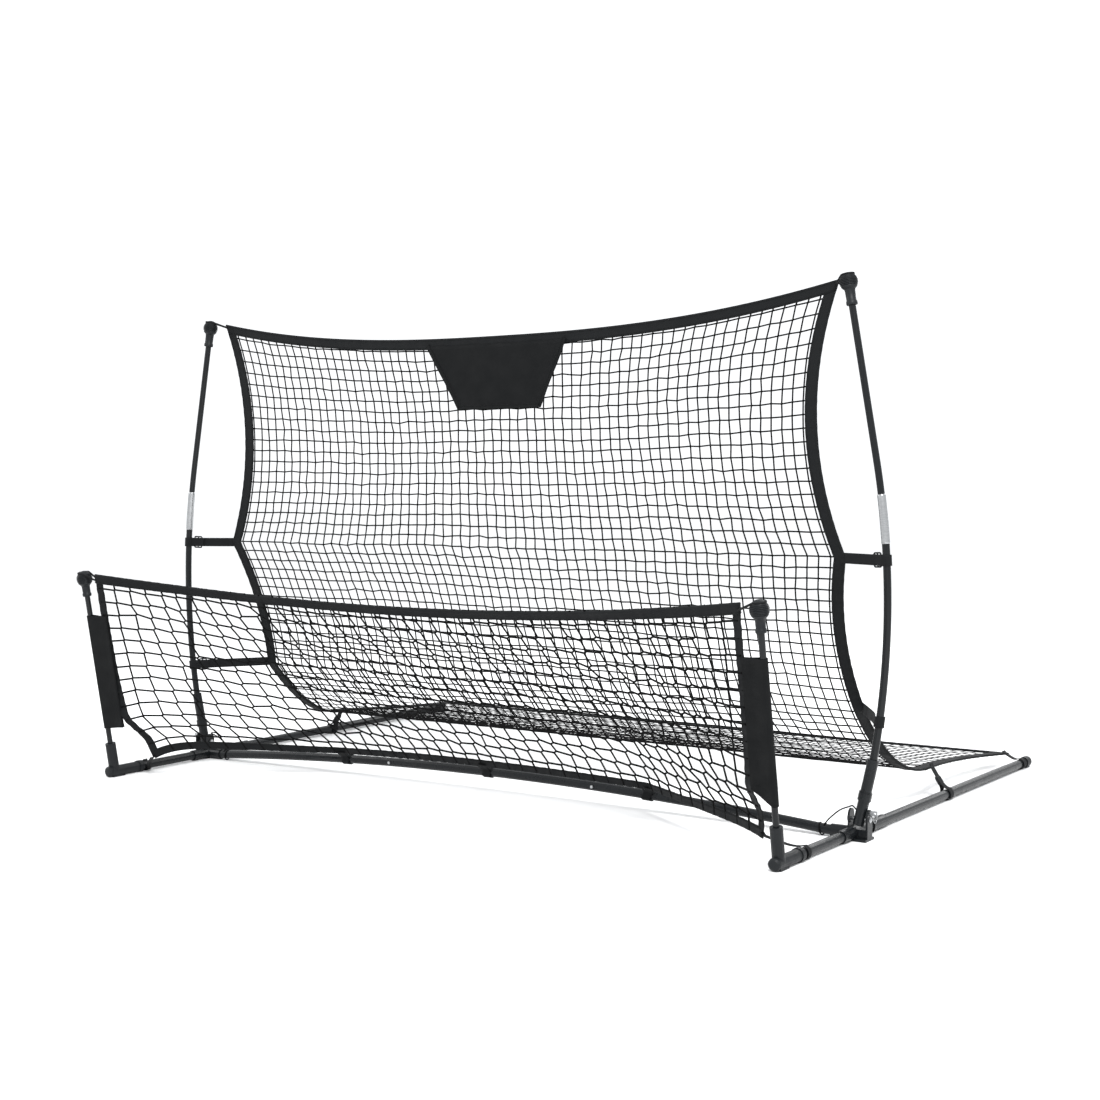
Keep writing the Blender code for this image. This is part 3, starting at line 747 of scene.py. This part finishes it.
def make_tall_borders():
    top = cross_stations(tall_net, 0.018, -1, 1, 220)
    border = band("tall_top_border", "webbing", top, 0.031, 0.0085, pucker=0.0005)
    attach(border, "uprights")
    for row, offset in (("outer", -0.0105), ("inner", 0.0105)):
        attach(stitches(f"tall_top_stitch_{row}", top, offset, 0.0042), "uprights")
    rear = cross_stations(tall_net, 3.975, -1, 1, 200)
    border = band("rear_border", "webbing", rear, 0.022, 0.0065, pucker=0.0004)
    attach(border, "base")
    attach(stitches("rear_stitch", rear, 0.0060, 0.0032), "base")
    for label, side in SIDES.items():
        stations = side_stations(side, tall_net, 0.987, 0.0, 3.995, 260)
        border = band("tall_side_border_" + label, "webbing", stations, 0.032, 0.0062, pucker=0.0006, seed=3)
        over_fold(border)
        for row, offset in (("outer", 0.0120), ("inner", -0.0120)):
            over_fold(stitches(f"tall_side_stitch_{row}_{label}", stations, offset, 0.0031))


def make_patch():
    """Trapezoid of cloth sewn on the front of the net, hemmed all round and a little rippled."""
    columns = 48
    rows = 16
    points = []
    uvs = []
    for j in range(rows + 1):
        v = j / rows
        for i in range(columns + 1):
            u = 2 * i / columns - 1
            x = (0.232 - 0.095 * v) * u
            point = tall_net(x / 0.95, 0.030 + 0.335 * v)
            ripple = 0.0022 * math.sin(24 * x + 2.2 * v) * math.sin(math.pi * v)
            ripple += 0.0012 * math.sin(61 * x - 4 * v)
            points.append(Vector((x, point.y - 0.0062 - ripple, point.z)))
            uvs.append((x, 0.165 * v))
    wide = columns + 1
    faces = [
        (j * wide + i, j * wide + i + 1, (j + 1) * wide + i + 1, (j + 1) * wide + i)
        for j in range(rows)
        for i in range(columns)
    ]
    patch = new_object("target_patch_cloth", mesh_of("target_patch_cloth", points, faces, uvs), "patch_fabric")
    wall = patch.modifiers.new("wall", "SOLIDIFY")
    wall.thickness = 0.0012
    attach(patch, "uprights")
    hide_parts("target_patch")
    edge = [points[rows * wide + i] for i in range(columns + 1)]
    left = [points[j * wide] for j in range(rows + 1)]
    right = [points[j * wide + columns] for j in range(rows + 1)]
    hems = []
    for name, line, inward in (
        ("bottom", edge, Vector((0, 0, 1))),
        ("left", left, Vector((1, 0, 0))),
        ("right", right, Vector((-1, 0, 0))),
    ):
        stations = []
        for i, point in enumerate(line):
            run = (line[min(i + 1, len(line) - 1)] - line[max(i - 1, 0)]).normalized()
            across = (inward - run * inward.dot(run)).normalized()
            normal = Vector((0, -1, 0))
            stations.append((point + across * 0.005, across, normal))
        hem = band("patch_hem_" + name, "patch_fabric", stations, 0.012, 0.0036)
        thread = stitches("patch_stitch_" + name, stations, 0.0035, 0.0020)
        hems += [hem, thread]
        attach(hem, "uprights")
        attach(thread, "uprights")


# ---------------------------------------------------------------- caps, cords and straps
def ribbed_profile(neck_r, neck_end, bore_r):
    """Ball cap: three rings round its crown, a smooth bowl, then a stepped neck with a lip."""
    profile = [(0.0, CAP_R * 0.985)]
    ribs = 7
    steps = 90
    for i in range(1, steps + 1):
        a = math.pi / 2 - (math.pi / 2 + 0.95) * i / steps
        groove = 0.0
        if -0.50 < math.sin(a) < 0.62:
            share = (0.62 - math.sin(a)) / 1.12
            groove = 0.0024 * (0.5 - 0.5 * math.cos(2 * math.pi * ribs * share))
        r = CAP_R - groove
        profile.append((r * math.cos(a), r * math.sin(a)))
    start = profile[-1][1]
    for share, r in ((0.12, 1.02), (0.30, 1.0), (0.72, 0.98), (0.76, 1.10), (0.94, 1.12), (1.0, 1.06)):
        profile.append((neck_r * r, start + (neck_end - start) * share))
    profile.append((bore_r, neck_end))
    profile.append((bore_r, neck_end + 0.012))
    profile.append((0.0, neck_end + 0.012))
    return profile


def make_caps():
    for label, side in SIDES.items():
        for name, centre, axis, neck_r, neck_end, bore, body, node in (
            (
                "tall_cap_", pole_point(side, CAP_Z), pole_axis(side, 1.2),
                0.0120, -0.056, POLE_R, "uprights", "pole_cap_",
            ),
            (
                "low_cap_", front_pole_point(side, FRONT_CAP_Z), FRONT_AXIS,
                0.0112, -0.050, FRONT_POLE_R, "base", "front_cap_",
            ),
        ):
            profile = ribbed_profile(neck_r, neck_end, bore + 0.0003)
            cap = lathe(name + label, "black_plastic", profile, centre, axis)
            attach(cap, body)
            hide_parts(node + label)


def neck_loop(name, corner, centre, axis, loop_r, body, cord_r=0.0022):
    """Elastic cord from a net corner, round a cap's groove and back to the corner."""
    out = corner - centre
    out = (out - axis * out.dot(axis)).normalized()
    third = axis.cross(out)
    arc = []
    for i in range(25):
        a = math.radians(65 + 230 * i / 24)
        arc.append(centre + (out * math.cos(a) + third * math.sin(a)) * loop_r)
    spread = third * 0.004
    path = [corner + spread] + arc + [corner - spread]
    loop = tube(name, "webbing", path, cord_r, 10)
    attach(loop, body)


def make_corner_cords():
    for label, side in SIDES.items():
        axis = pole_axis(side, 1.25)
        centre = pole_point(side, CAP_Z) + axis * 0.0172
        corner = tall_net(side, 0.012)
        neck_loop("tall_corner_cord_" + label, corner, centre, axis, 0.0150, "uprights", 0.0026)
        centre = front_pole_point(side, FRONT_CAP_Z) + FRONT_AXIS * 0.0172
        corner = low_net(side * 0.995, 0.03)
        neck_loop("low_corner_cord_" + label, corner, centre, FRONT_AXIS, 0.0150, "base", 0.0026)


def slider(name, centre, forward, across, width, body):
    """Ladder-lock slider: a rounded frame with a middle bar."""
    half_w = width / 2 + 0.0035
    half_l = 0.011
    corner = 0.003
    path = []
    for sx, sy, start in ((1, 1, 0), (-1, 1, 90), (-1, -1, 180), (1, -1, 270)):
        for k in range(5):
            a = math.radians(start + 22.5 * k)
            x = sx * (half_l - corner) + corner * math.cos(a)
            y = sy * (half_w - corner) + corner * math.sin(a)
            path.append(centre + forward * x + across * y)
    frame_ring = tube(name, "black_plastic", path, 0.0021, 10, cyclic=True)
    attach(frame_ring, body)
    bar = [centre + across * (half_w * k / 3) for k in range(-3, 4)]
    middle = tube(name + "_bar", "black_plastic", bar, 0.0018, 10)
    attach(middle, body)


def make_strap(name, node, centre, edge, axis, tube_r, width, body, buckle_at, tail=0.018):
    """Webbing from a net's border, round a tube, back through its slider, with a short free tail."""
    axis = axis.normalized()
    reach = edge - centre
    slide = axis * reach.dot(axis)
    reach = reach - slide
    length = reach.length
    d = reach.normalized()
    n = axis.cross(d)
    thick = 0.0016
    r = tube_r + thick / 2 + 0.0016
    path = [centre + slide + d * (length + 0.010) + n * 0.0040]
    legs = 10
    for i in range(legs + 1):
        t = 1 - i / legs
        away = 0.0012 + (r - 0.0012) * (1 - t) ** 6
        path.append(centre + slide * t + d * (r * 0.5 + (length - r * 0.5) * t) + n * away)
    for i in range(1, 20):
        a = math.radians(75 + 210 * i / 20)
        path.append(centre + (d * math.cos(a) + n * math.sin(a)) * r)
    back = min(length, buckle_at + tail)
    for i in range(legs + 1):
        t = i / legs
        x = r * 0.5 + (back - r * 0.5) * t
        away = 0.0018 + (r - 0.0012) * (1 - t) ** 6
        path.append(centre + slide * (x / length) + d * x - n * away)
    stations = []
    for i, point in enumerate(path):
        ahead = path[min(i + 1, len(path) - 1)]
        behind = path[max(i - 1, 0)]
        tangent = (ahead - behind).normalized()
        stations.append((point, axis, tangent.cross(axis).normalized()))
    strap = band(name, "webbing", stations, width, thick)
    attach(strap, body)
    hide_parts(node)
    if buckle_at:
        slider(name + "_slider", centre + slide * (buckle_at / length) + d * buckle_at, d, axis, width, body)


def make_side_straps():
    for label, side in SIDES.items():
        for name, station, height in (("high", 1.0, NET_HIGH.z), ("low", 1.985, NET_LOW.z + 0.006)):
            edge = tall_net(side, station)
            edge.z = height
            node = f"side_strap_{name}_{label}"
            centre = pole_point(side, height)
            make_strap(
                node + "_web", node, centre, edge, pole_axis(side, height), LOWER_POLE_R, 0.026, "uprights", 0.030
            )


def make_rail_straps():
    for label, side in SIDES.items():
        axis = rail_point(side, 1) - rail_point(side, 0)
        for node, station, buckle in (("rail_strap_", 3.02, 0.040), ("corner_strap_", 3.97, 0.0)):
            edge = tall_net(side, station)
            centre = rail_point(side, edge.y - PIVOT_Y)
            make_strap(node + label + "_web", node + label, centre, edge, axis, RAIL_R, 0.024, "base", buckle, 0.012)


def make_front_straps():
    for label, x in (("left", -0.5), ("middle", 0.0), ("right", 0.5)):
        centre = crossbar_point(x)
        edge = low_net(x / 0.95, 1)
        axis = crossbar_point(x + 0.01) - crossbar_point(x - 0.01)
        node = "front_strap_" + label
        make_strap(node + "_web", node, centre, edge, axis, CROSSBAR_R, 0.026, "base", 0.024, 0.010)


# ---------------------------------------------------------------- low net
LOW_COLUMNS = 44
LOW_PITCH = 0.040


def make_low_net():
    """Knotless netting: at each crossing the two cords run together for a short way."""
    chance = random.Random(11)
    rows = even_rows(low_net, 0.5, 1, LOW_PITCH)
    first = []
    second = []
    for v in rows:
        line_a = []
        line_b = []
        for i in range(LOW_COLUMNS + 1):
            u = 2 * i / LOW_COLUMNS - 1
            middle = low_net(u * 0.992, v)
            free = min(1.0, 8 * (1 - abs(u)), 8 * v, 8 * (1 - v))
            middle += Vector((chance.gauss(0, 0.002), chance.gauss(0, 0.002), chance.gauss(0, 0.002))) * free
            shift = Vector((0.0036, 0, 0.0022)) * free
            line_a.append(middle - shift)
            line_b.append(middle + shift)
        first.append(line_a)
        second.append(line_b)
    lines = []
    for j in range(1, len(rows) - 1):
        lines.append([p for pair in zip(first[j], second[j]) for p in pair])
    for i in range(1, LOW_COLUMNS):
        lines.append([p for j in range(len(rows)) for p in (second[j][i], first[j][i])])
    net = strands("low_net_cords", "net_cord", lines, 0.0027, 1.15, 7)
    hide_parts("low_net")
    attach(net, "base")


def make_low_borders():
    top = cross_stations(low_net, 0.022, -1, 1, 220)
    sleeve = band("low_top_sleeve", "webbing", top, 0.026, 0.0105, pucker=0.0006, seed=5)
    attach(sleeve, "base")
    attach(stitches("low_top_stitch", top, 0.0090, 0.0050), "base")
    bottom = cross_stations(low_net, 0.985, -0.995, 0.995, 220)
    border = band("low_bottom_border", "webbing", bottom, 0.024, 0.0040, pucker=0.0005, seed=6)
    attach(border, "base")
    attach(stitches("low_bottom_stitch", bottom, -0.0085, 0.0020), "base")
    for label, side in SIDES.items():
        stations = side_stations(side, low_net, 0.990, 0.01, 0.995, 120)
        border = band("low_side_border_" + label, "webbing", stations, 0.022, 0.0034, pucker=0.0009, seed=8)
        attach(border, "base")
        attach(stitches("low_side_stitch_" + label, stations, -0.0075, 0.0018), "base")


POCKET_LOW = 0.144
POCKET_HIGH = 0.470
POCKET_EDGE = {"left": 0.983, "right": 0.998}
POCKET_SLANT = {"left": 0.006, "right": 0.034}


def make_pockets():
    """Cloth pocket sewn to the net's edge: out to the pole, round it and back, hemmed at both ends."""
    for label, side in SIDES.items():
        chance = random.Random(20 + side)
        phase = chance.uniform(0, 6)
        rows = 44
        around = 12
        flap = 8
        wrap_r = FRONT_POLE_R + 0.0022
        points = []
        uvs = []
        count = 2 * (flap + 1) + around - 1
        for j in range(rows + 1):
            t = j / rows
            z = POCKET_HIGH + (POCKET_LOW - POCKET_HIGH) * t
            centre = front_pole_point(side, z)
            inner = Vector((side * POCKET_EDGE[label], centre.y, centre.z))
            d = (inner - centre).normalized()
            span = (inner - centre).length
            n = FRONT_AXIS.cross(d).normalized()
            rise = POCKET_SLANT[label] * max(0.0, t - 0.86) / 0.14
            pull = 0.0016 * math.sin(40 * t + phase) + 0.0011 * math.sin(97 * t)
            end = 0.0010 if j in (0, 1, rows - 1, rows) else 0.0
            line = []
            for i in range(flap + 1):
                s = 1 - i / flap
                bulge = (0.0022 + end + 0.8 * pull * math.sin(math.pi * s)) if s > 0.02 else 0.0022
                line.append((span * s, wrap_r + (bulge - wrap_r) * min(1.0, s * 1.6), s))
            for i in range(1, around):
                a = math.pi / 2 + math.pi * i / around
                line.append((wrap_r * math.cos(a), wrap_r * math.sin(a), 0.0))
            for i in range(flap + 1):
                s = i / flap
                line.append((span * s, -wrap_r - (0.0022 - wrap_r) * min(1.0, s * 1.6), s))
            for k, (a, b, s) in enumerate(line):
                up = FRONT_AXIS * (rise * s)
                points.append(centre + d * a + n * b + up)
                uvs.append((a + 0.1 * (b > 0), z))
        faces = [
            (j * count + i, j * count + i + 1, (j + 1) * count + i + 1, (j + 1) * count + i)
            for j in range(rows)
            for i in range(count - 1)
        ]
        name = "pole_pocket_cloth_" + label
        pocket = new_object(name, mesh_of(name, points, faces, uvs), "patch_fabric")
        wall = pocket.modifiers.new("wall", "SOLIDIFY")
        wall.thickness = 0.0010
        wall.offset = 0
        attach(pocket, "base")
        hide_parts("pole_pocket_" + label)


def make_corner_ties():
    """Webbing from the low net's lower corner, round the front rail just behind the tee."""
    for label, side in SIDES.items():
        axis = rail_point(side, 1) - rail_point(side, 0)
        centre = rail_point(side, -0.262)
        node = "corner_tie_" + label
        make_strap(node + "_web", node, centre, low_net(side, 0.99), axis, RAIL_R, 0.016, "base", 0.0, 0.012)


# ---------------------------------------------------------------- tubes and small metal
def make_tubes():
    """Poles and tubes with round walls and rolled ends, in the places of the plain ones."""
    def line(point, low, high, count):
        return [point(low + (high - low) * i / count) for i in range(count + 1)]

    for label, side in SIDES.items():
        for node, slot, low, high, radius in (
            ("lower_pole_", "fibreglass", 0.081, 0.7585, LOWER_POLE_R),
            ("upper_pole_", "fibreglass", 0.7595, 1.2850, POLE_R),
            ("ferrule_", "bright_steel", 0.701, 0.817, 0.0102),
        ):
            path = line(lambda z: pole_point(side, z), low, high, 48)
            taper = rolled_end(high - low, 0.0012, radius)
            made = tube(node + label + "_round", slot, path, radius, 24, taper=taper)
            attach(made, "uprights")
            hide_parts(node + label)


def rolled_end(length, roll, radius):
    """A taper that rounds off a tube's two ends."""
    def taper(t):
        near = min(t, 1 - t) * length
        return 1.0 if near > roll else 1 - (1 - near / roll) ** 2 * 0.12
    return taper


def make_split_rings():
    """Two turns of round wire, side by side, hanging from the lock pin's eye."""
    for label, side in SIDES.items():
        node = "split_ring_" + label
        centre = centre_of(node)
        mean_r = 0.0102
        path = []
        for i in range(97):
            a = math.pi / 2 + 4 * math.pi * i / 96
            x = (i / 96 - 0.5) * 0.0011 * side
            path.append(centre + Vector((x, math.cos(a) * mean_r, math.sin(a) * mean_r)))
        ring = tube("split_ring_wire_" + label, "bright_steel", path, 0.00055, 10)
        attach(ring, node)
        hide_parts(node)


def make_pivot_ties():
    """Thin cord tied from the crossbar over the bracket's cheeks to the rear socket, knotted at both ends."""
    for label, side in SIDES.items():
        cross = Vector((side * 0.972, PIVOT_Y, RAIL_Z))
        top = Vector((side * 1.0495, PIVOT_Y, 0.0765))
        rear = rail_point(side, 0.075)
        path = []
        for i in range(20):
            a = 2 * math.pi * i / 14
            path.append(cross + Vector((0.0009 * i * side, math.cos(a) * 0.0142, math.sin(a) * 0.0142)))
        path += [
            cross + Vector((side * 0.020, 0.010, 0.022)),
            cross + Vector((side * 0.050, 0.006, 0.048)),
            top,
            Vector((side * 1.0500, PIVOT_Y + 0.022, 0.0740)),
            rear + Vector((-side * 0.006, -0.028, 0.036)),
        ]
        for i in range(18):
            a = math.pi / 2 + 2 * math.pi * i / 14
            across, up = math.cos(a) * 0.0172 * side, math.sin(a) * 0.0172
            path.append(rear + Vector((across, 0.0009 * i, up + 0.0006)))
        path = [Vector((p.x, p.y, max(p.z, 0.0022))) for p in smooth(path, 3)]
        tie = tube("pivot_tie_" + label, "net_cord", path, 0.0018, 8)
        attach(tie, "base")


def smooth(points, between):
    """Points on a Catmull-Rom curve through the given ones."""
    result = []
    for i in range(len(points) - 1):
        p0 = points[max(i - 1, 0)]
        p1 = points[i]
        p2 = points[i + 1]
        p3 = points[min(i + 2, len(points) - 1)]
        for k in range(between):
            t = k / between
            result.append(
                ((2 * p1) + (p2 - p0) * t + (2 * p0 - 5 * p1 + 4 * p2 - p3) * t * t
                 + (3 * p1 - p0 - 3 * p2 + p3) * t**3) * 0.5
            )
    return result + [points[-1]]


def paint_kept_nodes():
    """Finishes for the CAD parts that stay as they are."""
    slots = {part["node"]: part["material_slot"] for part in frame["record"]["subparts"]}
    for name, node in frame["nodes"].items():
        if not node.hide_render:
            node.data.materials.clear()
            node.data.materials.append(finishes[slots[name]])


make_tall_net()
make_tall_borders()
make_patch()
make_caps()
make_corner_cords()
make_side_straps()
make_rail_straps()
make_front_straps()
make_low_net()
make_low_borders()
make_pockets()
make_corner_ties()
make_tubes()
make_split_rings()
make_pivot_ties()
paint_kept_nodes()
